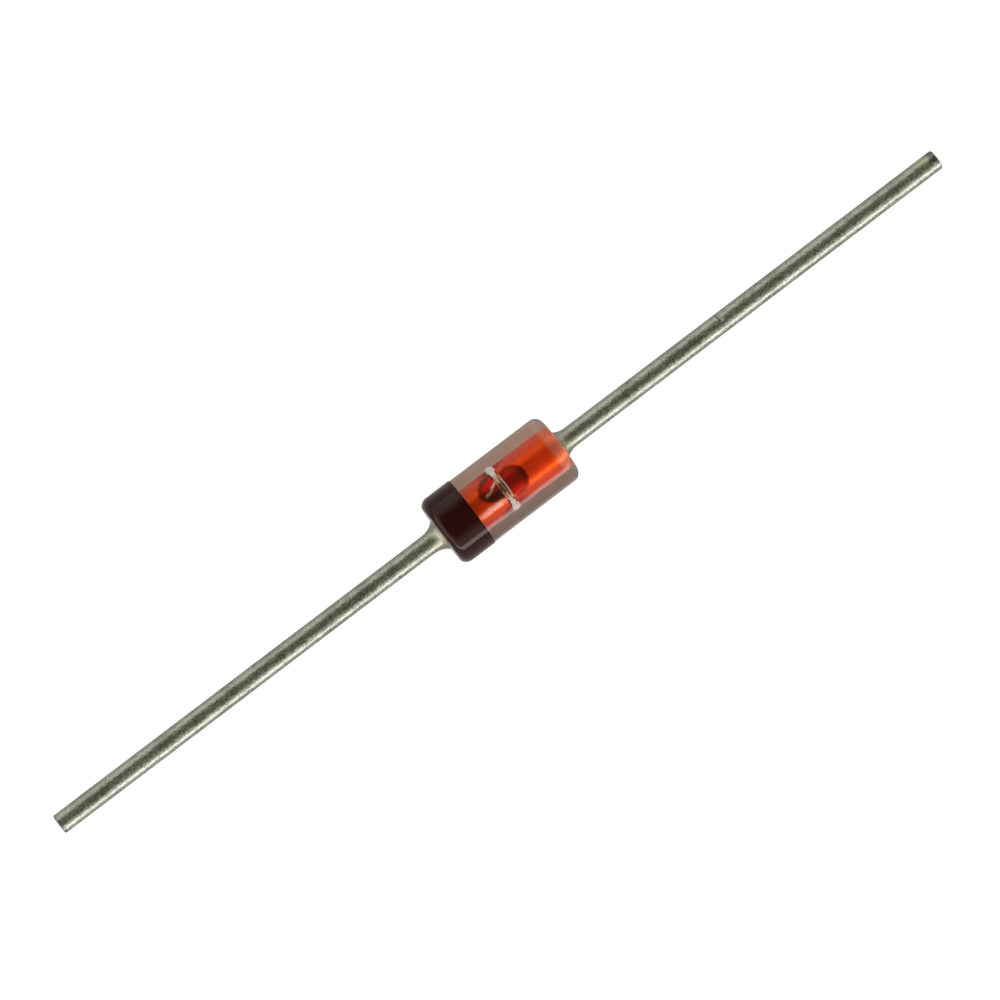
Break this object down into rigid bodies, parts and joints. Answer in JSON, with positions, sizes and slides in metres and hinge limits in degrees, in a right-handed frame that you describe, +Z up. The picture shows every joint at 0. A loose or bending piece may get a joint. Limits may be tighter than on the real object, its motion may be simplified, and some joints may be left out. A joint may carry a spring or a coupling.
{
  "type": "zener diode",
  "caption": "Axial zener diode: a silicon die clamped between metal slugs, sealed in a clear glass sleeve with a black cathode band and straight tinned leads.",
  "frame": {"origin": "middle of the part on the lead axis, halfway between the lead tips", "axes": "+X along the leads towards the anode, away from the painted band; +Z up with the part lying level"},
  "size_m": [0.0268, 0.0018, 0.0018],
  "materials": {
    "glass": "clear, fire-polished",
    "slug": "copper oxide, orange-red",
    "silicon": "sawn and polished silicon",
    "silver": "plated silver",
    "tinned_lead": "hot-dipped tin over copper-clad steel",
    "band_paint": "black stoved paint"
  },
  "bodies": {
    "root": {"glass_sleeve": "glass", "cathode_slug": "slug", "anode_slug": "slug", "zener_die": "silicon", "contact_bump": "silver", "cathode_lead": "tinned_lead", "anode_lead": "tinned_lead", "cathode_band": "band_paint"}
  },
  "joints": []
}
